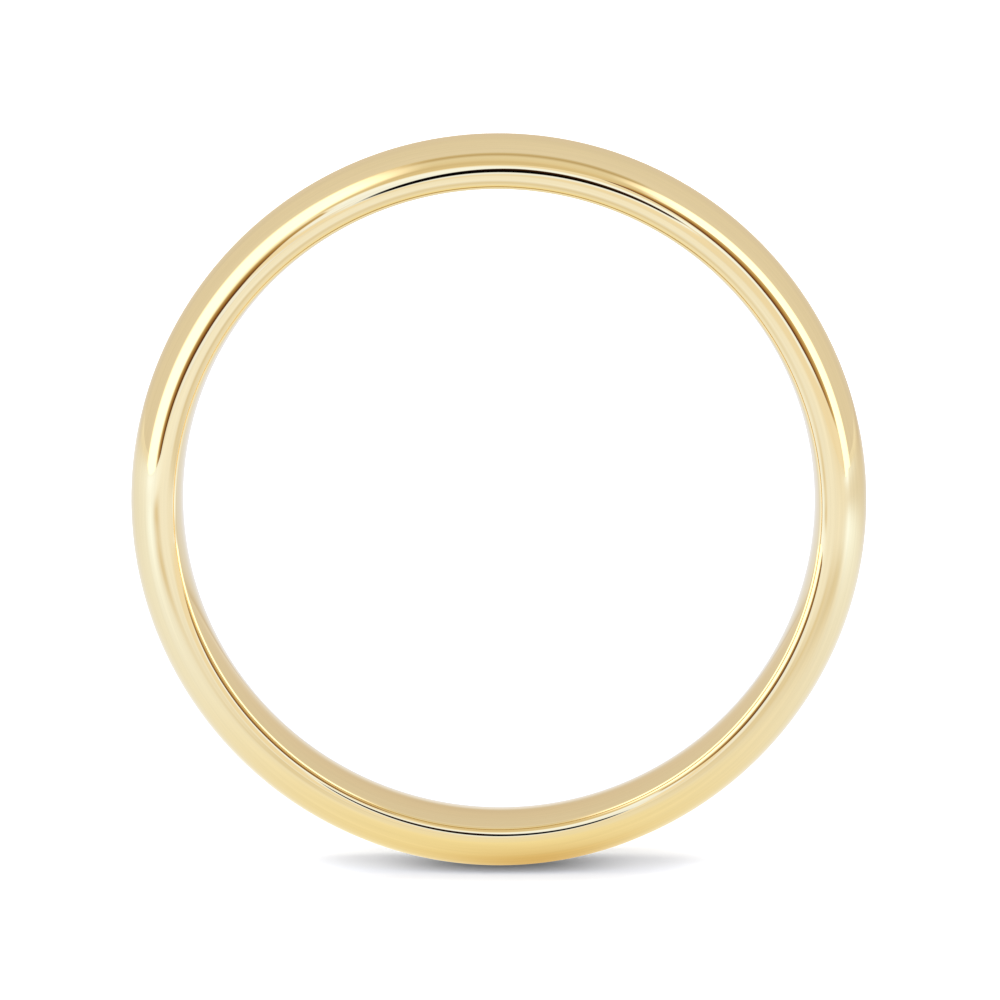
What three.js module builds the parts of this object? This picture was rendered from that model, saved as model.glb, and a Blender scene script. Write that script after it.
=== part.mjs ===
// A plain domed wedding band, one seamless piece of polished yellow gold, standing on its rim.
// Millimetres, +Z up. The finger hole runs along Y, and the origin is the centre of the ring.

import * as THREE from "three";

// Sizes that a goldsmith sets.
const fingerBore = 19.8; // across the finger hole at its tightest, halfway along the band
const bandWidth = 5.0; // along the finger
const crownWall = 1.65; // thickness of the metal at the crown of the dome
const edgeWall = 0.95; // thickness at the side faces, from fingerBore, if their edges were left sharp
const comfortRise = 0.2; // how far the hole would open out from its middle to a side face
const boreEdgeRadius = 0.35; // round between the finger hole and a side face
const shoulderRadius = 0.6; // round between the dome and a side face

// The most of a side face's height that each round may take, so that a flat ring of it always stays.
const boreEdgeShare = 0.42;
const shoulderShare = 0.5;

// How finely the round surfaces are cut into facets.
const stepsRound = 96; // round the finger
const domeSteps = 8; // over the dome, between its two shoulders
const boreSteps = 4; // through the finger hole, between its two edges
const shoulderSteps = 5; // over each shoulder
const boreEdgeSteps = 3; // over each edge of the finger hole

const quarterTurn = Math.PI / 2;
const fingerRadius = fingerBore / 2;
const halfWidth = bandWidth / 2;
const sideHeight = edgeWall - comfortRise;

/** Points of the section on an arc, as (distance from the ring's axis, place along it). Angle 0 is its crest. */
function sectionArc({ axial, radial, radius, outward, from, to, steps }) {
  const points = [];
  for (let i = 0; i <= steps; i++) {
    const angle = from + ((to - from) * i) / steps;
    const distance = radial + outward * radius * Math.cos(angle);
    points.push(new THREE.Vector2(distance, axial + radius * Math.sin(angle)));
  }
  return points;
}

/**
 * The dome or the finger hole with the round at each end, from the -Y side face to the +Y side face.
 * Between the rounds it is one long arc. Its crest is halfway along the band, and stands up by rise from
 * where the arc would meet the side faces. outward is 1 for the dome and -1 for the hole, whose crest
 * points at the finger. A round takes at most share of the side faces' height.
 */
function roundedFace({ crest, rise, edgeRadius, share, outward, steps, edgeSteps }) {
  const radius = (halfWidth ** 2 + rise ** 2) / (2 * rise);
  const centre = crest - outward * radius;
  const cornerTurn = quarterTurn - Math.asin(halfWidth / radius);
  const edge = Math.min(edgeRadius, (share * sideHeight) / Math.tan(cornerTurn / 2));

  const edgeAxial = halfWidth - edge;
  const tilt = Math.asin(edgeAxial / (radius - edge)); // where the long arc runs into the round
  const edgeRadial = centre + outward * (radius - edge) * Math.cos(tilt);
  const round = { radial: edgeRadial, radius: edge, outward, steps: edgeSteps };
  return [
    ...sectionArc({ ...round, axial: -edgeAxial, from: -quarterTurn, to: -tilt }),
    ...sectionArc({ axial: 0, radial: centre, radius, outward, from: -tilt, to: tilt, steps }).slice(1),
    ...sectionArc({ ...round, axial: edgeAxial, from: tilt, to: quarterTurn }).slice(1),
  ];
}

const dome = roundedFace({
  crest: fingerRadius + crownWall,
  rise: crownWall - edgeWall,
  edgeRadius: shoulderRadius,
  share: shoulderShare,
  outward: 1,
  steps: domeSteps,
  edgeSteps: shoulderSteps,
});

const fingerHole = roundedFace({
  crest: fingerRadius,
  rise: comfortRise,
  edgeRadius: boreEdgeRadius,
  share: boreEdgeShare,
  outward: -1,
  steps: boreSteps,
  edgeSteps: boreEdgeSteps,
});

// The flat side faces join the two, and the outline ends on the point where it starts.
const section = [...dome, ...fingerHole.reverse(), dome[0].clone()];

const polishedYellowGold = new THREE.MeshStandardMaterial({
  name: "polished_yellow_gold",
  color: 0xdeca9d,
  roughness: 0.06,
  metalness: 1,
});

const band = new THREE.Mesh(new THREE.LatheGeometry(section, stepsRound), polishedYellowGold);
band.name = "band";

const weddingBand = new THREE.Group();
weddingBand.name = "wedding_band";
weddingBand.add(band);

export default weddingBand;
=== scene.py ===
import math

import bpy
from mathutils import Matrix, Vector


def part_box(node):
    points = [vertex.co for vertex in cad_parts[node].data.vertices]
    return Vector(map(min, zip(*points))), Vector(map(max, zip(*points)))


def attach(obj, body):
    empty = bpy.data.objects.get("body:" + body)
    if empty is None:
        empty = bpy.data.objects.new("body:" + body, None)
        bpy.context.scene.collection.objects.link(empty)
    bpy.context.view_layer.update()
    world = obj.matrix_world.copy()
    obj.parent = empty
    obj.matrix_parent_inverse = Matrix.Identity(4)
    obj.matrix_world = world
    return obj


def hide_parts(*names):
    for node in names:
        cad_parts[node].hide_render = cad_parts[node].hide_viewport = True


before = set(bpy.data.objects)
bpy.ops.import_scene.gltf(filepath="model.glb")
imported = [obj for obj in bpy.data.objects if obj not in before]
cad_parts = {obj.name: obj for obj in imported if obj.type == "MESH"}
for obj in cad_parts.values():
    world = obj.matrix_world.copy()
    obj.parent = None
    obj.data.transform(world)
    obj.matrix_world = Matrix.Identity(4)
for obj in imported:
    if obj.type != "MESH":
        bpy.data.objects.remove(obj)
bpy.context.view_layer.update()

mm = 0.001
quarterTurn = math.pi / 2
fullTurn = math.tau

# The finger hole runs along Y, and the band stands on its rim. Its main sizes are the frame's.
lowCorner, highCorner = (Vector(corner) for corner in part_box("band"))
ringCentre = (lowCorner + highCorner) / 2
outerRadius = highCorner.x - ringCentre.x
halfWidth = highCorner.y - ringCentre.y
fingerRadius = min(
    math.hypot(vertex.co.x - ringCentre.x, vertex.co.z - ringCentre.z)
    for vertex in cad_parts["band"].data.vertices
)
sizes = (outerRadius * 2 / mm, halfWidth * 2 / mm, fingerRadius * 2 / mm)
print("frame: {:.2f} mm across, {:.2f} mm wide, {:.2f} mm bore".format(*sizes))


def linearColour(hexColour, alpha=1.0):
    # sRGB hex to the linear values that shaders take
    channels = [int(hexColour[i:i + 2], 16) / 255 for i in (1, 3, 5)]
    return [c / 12.92 if c <= 0.04045 else ((c + 0.055) / 1.055) ** 2.4 for c in channels] + [alpha]


def newMaterial(name):
    # an empty node tree and its output
    material = bpy.data.materials.new(name)
    material.use_nodes = True
    material.node_tree.nodes.clear()
    output = material.node_tree.nodes.new("ShaderNodeOutputMaterial")
    return material, material.node_tree, output


def addNode(tree, kind, settings=None, inputs=None):
    # inputs holds a value or another node's output for each socket, by name or number
    node = tree.nodes.new(kind)
    for name, value in (settings or {}).items():
        setattr(node, name, value)
    for name, value in (inputs or {}).items():
        if isinstance(value, bpy.types.NodeSocket):
            tree.links.new(value, node.inputs[name])
        else:
            node.inputs[name].default_value = value
    return node


def fromNoise(tree, noise, low, high):
    # spreads the tones that a noise really reaches over low to high
    return addNode(
        tree,
        "ShaderNodeMapRange",
        inputs={"Value": noise.outputs[0], "From Min": 0.3, "From Max": 0.7, "To Min": low, "To Max": high},
    )


# The band's section, in millimetres. The dome and the comfort-fit hole are long arcs with small
# rounds at the side faces, as a lathe and a polishing mop leave them.
bandShape = {
    "edgeWall": 0.95,  # wall at the side faces, before their edges are rounded
    "comfortRise": 0.2,  # how far the hole opens out towards a side face
    "shoulderRadius": 0.6,  # dome to side face
    "boreEdgeRadius": 0.35,  # side face to finger hole
    "stepsRound": 512,
    "domeSteps": 64,
    "boreSteps": 40,
    "shoulderSteps": 28,
    "boreEdgeSteps": 20,
    "sideSteps": 6,
}


def arcPoints(radial, axial, radius, outward, start, end, steps):
    # (distance from the ring's axis, place along it); angle 0 is the arc's crest
    points = []
    for i in range(steps + 1):
        angle = start + (end - start) * i / steps
        points.append((radial + outward * radius * math.cos(angle), axial + radius * math.sin(angle)))
    return points


def roundedFace(crest, rise, edge, outward, steps, edgeSteps):
    # the dome (outward 1) or the finger hole (outward -1), with the round at each end
    radius = (halfWidth ** 2 + rise ** 2) / (2 * rise)
    centre = crest - outward * radius
    edgeAxial = halfWidth - edge
    tilt = math.asin(edgeAxial / (radius - edge))  # where the long arc runs into the round
    edgeRadial = centre + outward * (radius - edge) * math.cos(tilt)
    near = arcPoints(edgeRadial, -edgeAxial, edge, outward, -quarterTurn, -tilt, edgeSteps)
    middle = arcPoints(centre, 0, radius, outward, -tilt, tilt, steps)
    far = arcPoints(edgeRadial, edgeAxial, edge, outward, tilt, quarterTurn, edgeSteps)
    return near + middle[1:] + far[1:]


def sidePoints(start, end, steps):
    # the flat side face between its two rounds, without its end points
    return [
        tuple(a + (b - a) * i / steps for a, b in zip(start, end))
        for i in range(1, steps)
    ]


def bandSection(shape):
    crownWall = outerRadius - fingerRadius
    dome = roundedFace(
        outerRadius,
        crownWall - shape["edgeWall"] * mm,
        shape["shoulderRadius"] * mm,
        1,
        shape["domeSteps"],
        shape["shoulderSteps"],
    )
    hole = roundedFace(
        fingerRadius,
        shape["comfortRise"] * mm,
        shape["boreEdgeRadius"] * mm,
        -1,
        shape["boreSteps"],
        shape["boreEdgeSteps"],
    )
    hole.reverse()
    farSide = sidePoints(dome[-1], hole[0], shape["sideSteps"])
    nearSide = sidePoints(hole[-1], dome[0], shape["sideSteps"])
    return dome + farSide + hole + nearSide


def revolvedMesh(name, section, stepsRound):
    # The section turned round Y into one closed skin. Its map runs round the ring in u and along
    # the section in v.
    lengths = [math.dist(section[i], section[(i + 1) % len(section)]) for i in range(len(section))]
    total = sum(lengths)
    along = [sum(lengths[:i]) / total for i in range(len(section) + 1)]
    count = len(section)
    vertices = []
    for turn in range(stepsRound):
        angle = fullTurn * turn / stepsRound
        for radial, axial in section:
            vertices.append((
                ringCentre.x + radial * math.cos(angle),
                ringCentre.y + axial,
                ringCentre.z + radial * math.sin(angle),
            ))
    faces = []
    uvs = []
    for turn in range(stepsRound):
        nextTurn = (turn + 1) % stepsRound
        for i in range(count):
            j = (i + 1) % count
            faces.append((turn * count + i, turn * count + j, nextTurn * count + j, nextTurn * count + i))
            left, right = turn / stepsRound, (turn + 1) / stepsRound
            uvs += [(left, along[i]), (left, along[i + 1]), (right, along[i + 1]), (right, along[i])]
    mesh = bpy.data.meshes.new(name)
    mesh.from_pydata(vertices, [], faces)
    layer = mesh.uv_layers.new(name="ringMap")
    for loop, uv in zip(layer.data, uvs):
        loop.uv = uv
    mesh.polygons.foreach_set("use_smooth", [True] * len(faces))
    mesh.update()
    return mesh, total


# Polished 14 karat yellow gold. Its mirror polish gives sharp reflections in a pale, warm gold; the
# mop leaves hair-fine marks that run round the ring, and the side faces keep faint lapping circles.
goldFinish = {
    "colour": "#DECA9D",  # seen head on
    "glancing": "#F3EBD7",  # seen almost edge on
    "roughness": 0.022,
    "roughnessSpread": 0.014,  # duller and brighter patches left by the mop
    "patchSize": 2.5,  # mm across such a patch
    "markSpacing": 0.12,  # mm between polishing marks; really about 0.02, drawn coarser so that they show
    "markLength": 6.0,  # mm along the ring
    "markDepth": 0.00003,  # mm
    "markTone": 0.03,  # how much lighter or darker a mark is
    "waveSize": 1.6,  # mm between the shallow waves that hand polishing leaves
    "waveDepth": 0.00015,  # mm
}


def polishedYellowGold(finish, sectionLength):
    material, tree, output = newMaterial("polished_14k_yellow_gold")

    # place on the ring, in mm: along the section from the map, and round the ring as a direction
    ringMap = addNode(tree, "ShaderNodeUVMap", {"uv_map": "ringMap"})
    mapParts = addNode(tree, "ShaderNodeSeparateXYZ", inputs={0: ringMap.outputs[0]})
    place = addNode(tree, "ShaderNodeTexCoord")
    placeInMm = addNode(
        tree, "ShaderNodeVectorMath", {"operation": "SCALE"}, {0: place.outputs["Object"], "Scale": 1 / mm}
    )
    flattened = addNode(
        tree, "ShaderNodeVectorMath", {"operation": "MULTIPLY"}, {0: placeInMm.outputs[0], 1: (1, 0, 1)}
    )
    direction = addNode(tree, "ShaderNodeVectorMath", {"operation": "NORMALIZE"}, {0: flattened.outputs[0]})
    marksRound = addNode(
        tree,
        "ShaderNodeVectorMath",
        {"operation": "SCALE"},
        {0: direction.outputs[0], "Scale": outerRadius / mm / finish["markLength"]},
    )
    marksAcross = addNode(
        tree,
        "ShaderNodeMath",
        {"operation": "MULTIPLY"},
        {0: mapParts.outputs["Y"], 1: sectionLength / mm / finish["markSpacing"]},
    )
    marksUp = addNode(tree, "ShaderNodeCombineXYZ", inputs={"Y": marksAcross.outputs[0]})
    marksPlace = addNode(
        tree, "ShaderNodeVectorMath", {"operation": "ADD"}, {0: marksRound.outputs[0], 1: marksUp.outputs[0]}
    )

    marks = addNode(
        tree,
        "ShaderNodeTexNoise",
        inputs={"Vector": marksPlace.outputs[0], "Scale": 1.0, "Detail": 2.0, "Roughness": 0.6},
    )
    waves = addNode(
        tree,
        "ShaderNodeTexNoise",
        inputs={"Vector": placeInMm.outputs[0], "Scale": 1 / finish["waveSize"], "Detail": 1.0},
    )
    patches = addNode(
        tree,
        "ShaderNodeTexNoise",
        inputs={"Vector": placeInMm.outputs[0], "Scale": 1 / finish["patchSize"], "Detail": 3.0},
    )

    markBump = addNode(
        tree,
        "ShaderNodeBump",
        inputs={"Strength": 1.0, "Distance": finish["markDepth"] * mm, "Height": marks.outputs[0]},
    )
    waveBump = addNode(
        tree,
        "ShaderNodeBump",
        inputs={
            "Strength": 1.0,
            "Distance": finish["waveDepth"] * mm,
            "Height": waves.outputs[0],
            "Normal": markBump.outputs[0],
        },
    )
    spread = finish["roughnessSpread"] / 2
    roughness = fromNoise(tree, patches, finish["roughness"] - spread, finish["roughness"] + spread)
    markTone = fromNoise(tree, marks, 1 - finish["markTone"], 1 + finish["markTone"])
    colour = addNode(
        tree,
        "ShaderNodeVectorMath",
        {"operation": "SCALE"},
        {0: linearColour(finish["colour"])[:3], "Scale": markTone.outputs[0]},
    )
    metal = addNode(
        tree,
        "ShaderNodeBsdfPrincipled",
        inputs={
            "Base Color": colour.outputs[0],
            "Specular Tint": linearColour(finish["glancing"]),
            "Metallic": 1.0,
            "Roughness": roughness.outputs[0],
            "Normal": waveBump.outputs[0],
        },
    )
    tree.links.new(metal.outputs[0], output.inputs[0])
    return material


section = bandSection(bandShape)
bandMesh, sectionLength = revolvedMesh("polished_band", section, bandShape["stepsRound"])
band = bpy.data.objects.new("polished_band", bandMesh)
bpy.context.collection.objects.link(band)
bandMesh.materials.append(polishedYellowGold(goldFinish, sectionLength))
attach(band, "root")
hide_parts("band")
print(f"band: {len(section)} points to a section, {len(bandMesh.polygons)} faces")


# The floor is matt white paper, and the ring's shadow is the only mark on it. A little light comes
# The paper also glows with painted light, least under the rim and more away from it, which paints the ring's
# shadow soft and narrow.
floorLook = {
    "halfSize": 1500,  # mm
    "colour": "#FAFAFA",
    "grain": 0.01,  # how much the paper's tone wanders
    "grainSize": 40,  # mm
    "glow": 0.14,  # strength of the painted glow right under the rim
    "paintedGlowBeside": 0.5,  # to the left and right of the rim
    "paintedGlowAway": 0.5,  # well clear of the rim
    "rimPlace": 0.2,  # mm to the right of the ring's centre
    "squeeze": 1.5,  # how many times quicker the painted glow grows towards the viewer than sideways
    "besideReach": (0.8, 4.5),  # mm from the rim, where the painted glow beside it starts and is full
    "awayReach": (4.5, 11),  # the same for the painted glow well clear of it
    "frontEdge": (-5.5, -0.8),  # mm along Y, where the painted glow beside the rim has gone and is full
    "backEdge": (3.9, -0.9),  # the same behind the ring
}


def smoothRise(tree, value, start, result):
    # start holds where value begins and stops counting, and result what comes out there
    return addNode(
        tree,
        "ShaderNodeMapRange",
        {"interpolation_type": "SMOOTHSTEP"},
        {
            "Value": value,
            "From Min": start[0],
            "From Max": start[1],
            "To Min": result[0],
            "To Max": result[1],
        },
    )


def paperWithPaintedGlow(look):
    material, tree, output = newMaterial("matt_white_paper_painted_glow")
    place = addNode(tree, "ShaderNodeTexCoord")
    grain = addNode(
        tree,
        "ShaderNodeTexNoise",
        inputs={"Vector": place.outputs["Object"], "Scale": 1 / (look["grainSize"] * mm), "Detail": 2.0},
    )
    tone = addNode(
        tree,
        "ShaderNodeMapRange",
        inputs={"Value": grain.outputs[0], "To Min": 1 - look["grain"], "To Max": 1.0},
    )
    colour = addNode(
        tree,
        "ShaderNodeVectorMath",
        {"operation": "SCALE"},
        {0: linearColour(look["colour"])[:3], "Scale": tone.outputs[0]},
    )
    paper = addNode(tree, "ShaderNodeBsdfDiffuse", inputs={"Color": colour.outputs[0]})

    rim = (ringCentre.x + look["rimPlace"] * mm, ringCentre.y, lowCorner.z)
    fromRim = addNode(
        tree, "ShaderNodeVectorMath", {"operation": "SUBTRACT"}, {0: place.outputs["Object"], 1: rim}
    )
    inMm = addNode(
        tree, "ShaderNodeVectorMath", {"operation": "SCALE"}, {0: fromRim.outputs[0], "Scale": 1 / mm}
    )
    squeezed = addNode(
        tree,
        "ShaderNodeVectorMath",
        {"operation": "MULTIPLY"},
        {0: inMm.outputs[0], 1: (1, look["squeeze"], 0)},
    )
    length = addNode(tree, "ShaderNodeVectorMath", {"operation": "LENGTH"}, {0: squeezed.outputs[0]})
    distance = length.outputs["Value"]
    depth = addNode(tree, "ShaderNodeSeparateXYZ", inputs={0: inMm.outputs[0]}).outputs["Y"]
    beside = smoothRise(tree, distance, look["besideReach"], (look["glow"], look["paintedGlowBeside"]))
    away = smoothRise(tree, distance, look["awayReach"], (0, look["paintedGlowAway"]))
    inFront = smoothRise(tree, depth, look["frontEdge"], (0, 1))
    behind = smoothRise(tree, depth, look["backEdge"], (0, 1))
    near = addNode(
        tree, "ShaderNodeMath", {"operation": "MULTIPLY"}, {0: inFront.outputs[0], 1: behind.outputs[0]}
    )
    strength = addNode(
        tree,
        "ShaderNodeMath",
        {"operation": "MULTIPLY_ADD"},
        {0: beside.outputs[0], 1: near.outputs[0], 2: away.outputs[0]},
    )
    # painted light: an emission on the paper, weakest under the rim, that shapes the ring's shadow
    glow = addNode(tree, "ShaderNodeEmission", inputs={"Strength": strength.outputs[0]})
    lit = addNode(tree, "ShaderNodeAddShader", inputs={0: paper.outputs[0], 1: glow.outputs[0]})
    tree.links.new(lit.outputs[0], output.inputs[0])
    return material


def addFloor(look):
    half = look["halfSize"] * mm
    height = lowCorner.z
    mesh = bpy.data.meshes.new("floor")
    corners = [(-half, -half, height), (half, -half, height), (half, half, height), (-half, half, height)]
    mesh.from_pydata(corners, [], [(0, 1, 2, 3)])
    mesh.materials.append(paperWithPaintedGlow(look))
    floor = bpy.data.objects.new("floor", mesh)
    bpy.context.collection.objects.link(floor)
    floor.visible_glossy = False  # the gold sees the white sheet instead


addFloor(floorLook)
bpy.context.scene.cycles.caustics_reflective = False  # no bright specks in the shadow


def mix(first, second, share):
    return [a + (b - a) * share for a, b in zip(first, second)]


def lightColour(hexColour, light):
    return [channel * light for channel in linearColour(hexColour)[:3]]


def keepToReflections(obj):
    # seen in the gold, and nowhere else
    obj.visible_camera = False
    obj.visible_diffuse = False
    obj.visible_transmission = False
    obj.visible_shadow = False


# What the gold sees of the floor: a glowing sheet with painted light and shade, painted blue-white where the
# softboxes at the left and right would light it, dimmer in front and far behind. A painted warm glow stands
# for the light that the ring throws on it, with painted shade darkest where they touch.
sheetLook = {
    "colour": "#BABCBF",
    "light": 2.4,  # brightness of a white colour here
    "radius": 1400,  # mm
    "firstRing": 0.25,  # mm, radius of the smallest of its mesh's rings
    "rings": 72,
    "turns": 96,  # points to a ring
    # painted patches of light and shade: (x, y) and reach in mm, colour, and how much of it there is at the
    # middle; later ones lie on top
    "paintedLightAndShade": [
        ((0, 280), 220, "#978D7E", 0.95),  # far behind the ring
        ((0, 90), 75, "#9C978F", 0.9),  # behind it
        ((-260, -15), 260, "#C9DAFA", 0.95),  # painted light of the left softbox
        ((-72, -22), 42, "#C6D7F5", 0.95),  # painted light of the left softbox, nearer
        ((320, 90), 150, "#C9DAFA", 0.95),  # painted light of the right softbox
        ((66, 22), 36, "#C9DAFA", 1),  # painted light of the right softbox, nearer
        ((-58, -68), 28, "#ABA496", 0.9),  # shade of the left flag
        ((-32, -42), 17, "#ADA79A", 0.9),  # shade of the left flag, nearer
        ((32, -18), 17, "#AEACA6", 0.95),  # shade of the right flag
        ((14, -42), 18, "#AAA598", 0.85),  # shade of the right flag, in front
        ((-3, -26), 11, "#AAA595", 0.8),  # shade of the lens
        ((0, -3), 12, "#BCB799", 0.9),  # painted warm glow that the ring throws
        ((1, 0.3), 2.7, "#A38B59", 1),  # painted shade where the ring and the sheet touch
    ],
}


def paintedSheetLight():
    material, tree, output = newMaterial("sheet_of_painted_light_and_shade")
    tone = addNode(tree, "ShaderNodeAttribute", {"attribute_name": "tone"})
    glow = addNode(tree, "ShaderNodeEmission", inputs={"Color": tone.outputs["Color"], "Strength": 1.0})
    tree.links.new(glow.outputs[0], output.inputs[0])
    return material


def addSheet(look):
    growth = (look["radius"] / look["firstRing"]) ** (1 / (look["rings"] - 1))
    vertices = [(0.0, 0.0)]
    for ring in range(look["rings"]):
        radius = look["firstRing"] * growth ** ring
        for turn in range(look["turns"]):
            angle = fullTurn * turn / look["turns"]
            vertices.append((radius * math.cos(angle), radius * math.sin(angle)))
    turns = look["turns"]
    faces = [(0, 1 + turn, 1 + (turn + 1) % turns) for turn in range(turns)]
    for ring in range(look["rings"] - 1):
        inner, outer = 1 + ring * turns, 1 + (ring + 1) * turns
        for turn in range(turns):
            after = (turn + 1) % turns
            faces.append((inner + turn, outer + turn, outer + after, inner + after))
    # painted light and shade of the floor, as the gold sees it, mixed into each point's glow colour
    tones = []
    for place in vertices:
        tone = lightColour(look["colour"], look["light"])
        for centre, reach, colour, amount in look["paintedLightAndShade"]:
            share = amount * math.exp(-((math.dist(place, centre) / reach) ** 2))
            tone = mix(tone, lightColour(colour, look["light"]), share)
        tones += tone + [1.0]
    mesh = bpy.data.meshes.new("white_sheet")
    height = lowCorner.z
    mesh.from_pydata(
        [(ringCentre.x + x * mm, ringCentre.y + y * mm, height) for x, y in vertices], [], faces
    )
    mesh.attributes.new("tone", "FLOAT_COLOR", "POINT").data.foreach_set("color", tones)
    mesh.materials.append(paintedSheetLight())
    sheet = bpy.data.objects.new("white_sheet", mesh)
    bpy.context.collection.objects.link(sheet)
    keepToReflections(sheet)


addSheet(sheetLook)


# The studio: a white tent with a big softbox at each side and dark flags that draw the edges of a
# polished ring. Each card is a patch of a sphere round the ring, and its rows are lines of points
# (turn, lean) in degrees: turn runs anticlockwise from +X as the front viewer sees it, and lean is the
# angle away from that viewer's side, so 0 is in front of the ring, 90 is beside it and 180 is behind it.
# A row's colour is followed by its points. light is the brightness of white in that card, and fade is
# how many degrees its first row, its right end, its last row and its left end take to melt away.
studioCards = {
    "left_softbox": {
        "distance": 400,
        "light": 2.35,
        "fade": (9, 16, 1.5, 12),
        "rows": [
            ("#FFFFFF", (194, 54), (146, 54)),
            ("#FFFFFF", (194, 64), (128, 62)),
            ("#FFFFFF", (194, 74), (112, 72)),
            ("#FFFFFF", (194, 90), (103, 90)),
            ("#FFFFFF", (194, 127), (103, 127)),
        ],
    },
    "right_softbox": {
        "distance": 400,
        "light": 2.35,
        "fade": (6, 3, 1.5, 14),
        "rows": [
            ("#FFFFFF", (64, 86), (-10, 87)),
            ("#FFFFFF", (66, 100), (-10, 100)),
            ("#FFFFFF", (71, 110), (-10, 112)),
            ("#FFFFFF", (71, 123), (-10, 129)),
        ],
    },
    "top_card": {
        "distance": 440,
        "light": 1.1,
        "fade": (2, 4, 0.6, 4),
        "rows": [
            ("#EDE2C6", (128, 60), (108, 60), (90, 63), (74, 72), (60, 80)),
            ("#EFE5CA", (128, 70), (108, 72), (90, 74), (74, 78), (60, 84)),
            ("#EDE1C6", (128, 84), (108, 84), (90, 86), (74, 86), (60, 88)),
            ("#F7F2E0", (128, 104), (108, 104), (90, 104), (74, 104), (60, 102)),
            ("#F9F6E9", (128, 121), (108, 121), (90, 121), (74, 121), (60, 120)),
            ("#D0BF9C", (128, 124), (108, 124), (90, 124), (74, 124), (60, 123)),
            ("#F0EBDD", (128, 127), (108, 127), (90, 127), (74, 127), (60, 126)),
        ],
    },
    "front_reflector": {
        "distance": 380,
        "light": 2.2,
        "fade": (6, 4, 5, 4),
        "rows": [
            ("#C4D2EF", (142, 22), (118, 23), (108, 24), (96, 26)),
            ("#C8D6F4", (138, 38), (112, 38), (86, 38), (60, 38)),
            ("#CBDBFC", (128, 46), (96, 46), (58, 46), (14, 40)),
            ("#C8D6F0", (126, 60), (96, 60), (62, 58), (10, 60)),
        ],
    },
    "lens_hood": {
        "distance": 370,
        "light": 2.2,
        "fade": (3, 3, 3, 3),
        "rows": [
            ("#C4D2EF", (140, 6), (84, 6)),
            ("#C4D2EF", (138, 18), (62, 15)),
            ("#C8D6F4", (124, 30), (46, 24)),
            ("#CBDBFC", (98, 44), (44, 36)),
        ],
    },
    "lens": {
        "distance": 340,
        "light": 1.0,
        "fade": (1.5, 2, 2, 2),
        "rows": [
            ("#120604", (130, 11), (121, 11), (112, 11.5)),
            ("#0A0302", (130, 17), (115, 17), (97, 16)),
            ("#000000", (120, 24.5), (98, 23.5), (68, 23)),
            ("#0A0302", (108, 31), (82, 31.5), (52, 31)),
            ("#5C3A1C", (88, 43.5), (73, 44), (50, 42)),
        ],
    },
    "left_flag": {
        "distance": 360,
        "light": 1.0,
        "fade": (2, 1, 6, 8),
        "rows": [
            ("#3A1E10", (193, 40), (167, 25), (153, 25)),
            ("#7A4C2C", (194, 43), (160, 33), (141, 33)),
            ("#B48B50", (194, 46), (158, 41), (134, 41)),
            ("#D4B680", (190, 50), (154, 49), (125, 47)),
            ("#E8D8B4", (188, 55), (152, 56), (125, 61)),
        ],
    },
    "right_flag": {
        "distance": 360,
        "light": 1.0,
        "fade": (2, 3, 3, 3),
        "rows": [
            ("#58321F", (72, 72), (60, 64), (48, 56), (34, 52), (20, 53), (12, 62)),
            ("#7C4A28", (72, 75), (60, 68), (48, 63), (34, 60), (20, 60), (9, 68)),
            ("#BC9561", (70, 78), (59, 74), (48, 71), (34, 68), (20, 68), (7, 74)),
            ("#DABC84", (68, 81), (58, 79), (48, 78), (34, 78), (20, 78), (6, 80)),
            ("#F4E6C6", (66, 87), (58, 88), (48, 90), (34, 90), (20, 90), (6, 89)),
        ],
    },
    "left_reflector": {
        "distance": 390,
        "light": 2.2,
        "fade": (3, 4, 4, 6),
        "rows": [
            ("#C4CEE6", (212, 5), (146, 5)),
            ("#C4D0EC", (212, 16), (146, 15)),
            ("#C4CEE6", (208, 30), (146, 28)),
        ],
    },
    "back_wall": {
        "distance": 480,
        "light": 1.1,
        "fade": (12, 14, 0.1, 14),
        "rows": [
            ("#F2F1F4", (220, 146), (90, 146), (-40, 146)),
            ("#F0EEEE", (220, 160), (90, 160), (-40, 160)),
            ("#ECE5DB", (220, 168), (90, 168), (-40, 168)),
            ("#DFD2BC", (220, 176), (90, 176), (-40, 176)),
            ("#D8C9AE", (220, 180), (90, 180), (-40, 180)),
        ],
    },
}
cardSteps = 48
tiny = 1e-9  # keeps a stretch of no length, such as one at the pole, from dividing by zero


def cardDirection(turn, lean):
    turn, lean = math.radians(turn), math.radians(lean)
    return Vector((math.sin(lean) * math.cos(turn), -math.cos(lean), math.sin(lean) * math.sin(turn)))


def alongLine(points, share):
    # the place at a share of the way along a line of points, each stretch counting the same
    position = share * (len(points) - 1)
    index = min(int(position), len(points) - 2)
    return mix(points[index], points[index + 1], position - index)


def distanceToLine(place, line):
    # in degrees, near enough for a fade
    scale = math.sin(math.radians(place[1]))
    here = Vector((place[0] * scale, place[1]))
    shortest = math.inf
    for first, second in zip(line, line[1:]):
        start = Vector((first[0] * scale, first[1]))
        step = Vector((second[0] * scale, second[1])) - start
        share = (here - start).dot(step) / max(step.length_squared, tiny)
        shortest = min(shortest, (here - start - step * min(max(share, 0), 1)).length)
    return shortest


def smoothStep(share):
    share = min(max(share, 0), 1)
    return share * share * (3 - 2 * share)


def cardMaterial(name):
    material, tree, output = newMaterial(name)
    tone = addNode(tree, "ShaderNodeAttribute", {"attribute_name": "tone"})
    glow = addNode(tree, "ShaderNodeEmission", inputs={"Color": tone.outputs["Color"], "Strength": 1.0})
    clear = addNode(tree, "ShaderNodeBsdfTransparent")
    mixed = addNode(
        tree,
        "ShaderNodeMixShader",
        inputs={0: tone.outputs["Alpha"], 1: clear.outputs[0], 2: glow.outputs[0]},
    )
    tree.links.new(mixed.outputs[0], output.inputs[0])
    return material


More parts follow.
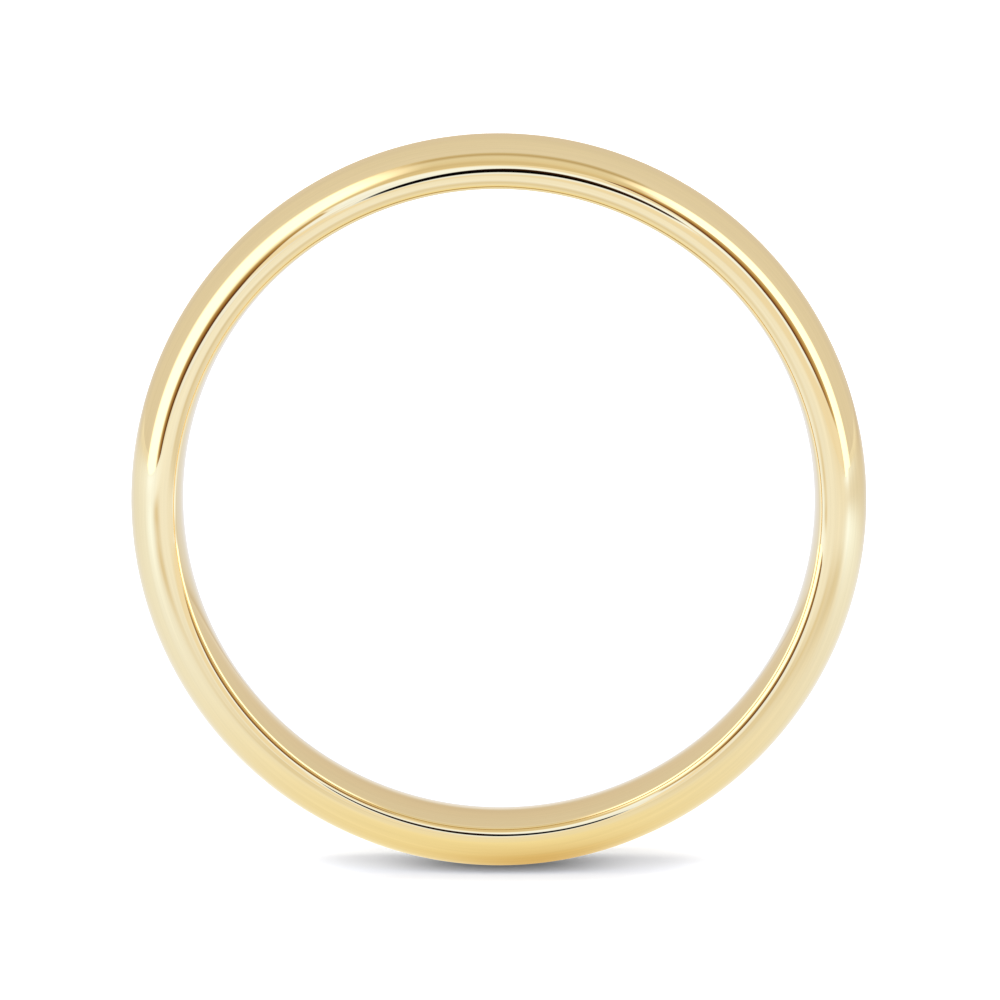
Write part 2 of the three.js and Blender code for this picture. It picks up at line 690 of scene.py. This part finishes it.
def addCard(name, card):
    lines = [row[1:] for row in card["rows"]]
    colours = [lightColour(row[0], card["light"]) for row in card["rows"]]
    edges = (lines[0], [line[-1] for line in lines], lines[-1], [line[0] for line in lines])
    vertices, tones = [], []
    for j in range(cardSteps + 1):
        down = j / cardSteps
        for i in range(cardSteps + 1):
            place = alongLine([alongLine(line, i / cardSteps) for line in lines], down)
            vertices.append(ringCentre + cardDirection(*place) * card["distance"] * mm)
            cover = math.prod(
                smoothStep(distanceToLine(place, edge) / fade) for edge, fade in zip(edges, card["fade"])
            )
            tones += alongLine(colours, down) + [cover]
    row = cardSteps + 1
    faces = [
        (j * row + i, j * row + i + 1, (j + 1) * row + i + 1, (j + 1) * row + i)
        for j in range(cardSteps)
        for i in range(cardSteps)
    ]
    mesh = bpy.data.meshes.new(name)
    mesh.from_pydata(vertices, [], faces)
    mesh.attributes.new("tone", "FLOAT_COLOR", "POINT").data.foreach_set("color", tones)
    mesh.materials.append(cardMaterial(name))
    obj = bpy.data.objects.new(name, mesh)
    bpy.context.collection.objects.link(obj)
    obj.visible_camera = False


for cardName, card in studioCards.items():
    addCard(cardName, card)

# The tent is a little brighter on the viewer's side than behind the ring.
tentLook = {
    "front": "#FAF8F3",
    "back": "#E9E9EC",
    "light": 1.25,
    "turnover": (-0.3, 0.7),  # Y of the directions where the front colour ends and the back one starts
}


def addTent(look):
    world = bpy.data.worlds.new("white_tent")
    world.use_nodes = True
    tree = world.node_tree
    place = addNode(tree, "ShaderNodeTexCoord")
    parts = addNode(tree, "ShaderNodeSeparateXYZ", inputs={0: place.outputs["Generated"]})
    start, end = look["turnover"]
    depth = addNode(
        tree, "ShaderNodeMapRange", inputs={"Value": parts.outputs["Y"], "From Min": start, "From Max": end}
    )
    colour = addNode(
        tree,
        "ShaderNodeMix",
        {"data_type": "RGBA"},
        {0: depth.outputs[0], 6: linearColour(look["front"]), 7: linearColour(look["back"])},
    )
    background = tree.nodes["Background"]
    tree.links.new(colour.outputs[2], background.inputs["Color"])
    background.inputs["Strength"].default_value = look["light"]
    bpy.context.scene.world = world


addTent(tentLook)
bpy.context.scene.view_settings.view_transform = "Standard"
print(f"studio: floor, white sheet, {len(studioCards)} cards and a white tent")


# A long lens, a little above the ring and a touch to its right.
cameraPlace = {
    "azimuth": 0.82,  # degrees towards +X
    "elevation": 7.42,
    "distance": 600,  # mm from the ring's centre
    "lens": 688.1,
    "sensor": 36,  # mm wide
    "clip": (0.01, 10),  # m
    "aimRight": 0.039,  # mm that the lens points beside the ring's centre
    "aimUp": -0.0135,
}


def addCamera(place):
    azimuth, elevation = math.radians(place["azimuth"]), math.radians(place["elevation"])
    back = Vector((
        math.sin(azimuth) * math.cos(elevation),
        -math.cos(azimuth) * math.cos(elevation),
        math.sin(elevation),
    ))
    data = bpy.data.cameras.new("camera")
    data.sensor_width = place["sensor"]
    data.lens = place["lens"]
    data.clip_start, data.clip_end = place["clip"]
    camera = bpy.data.objects.new("camera", data)
    aim = ringCentre + Vector((place["aimRight"], 0, place["aimUp"])) * mm
    camera.location = ringCentre + back * place["distance"] * mm
    camera.rotation_euler = (camera.location - aim).to_track_quat("Z", "Y").to_euler()
    bpy.context.collection.objects.link(camera)
    bpy.context.scene.camera = camera


addCamera(cameraPlace)
print("camera placed")
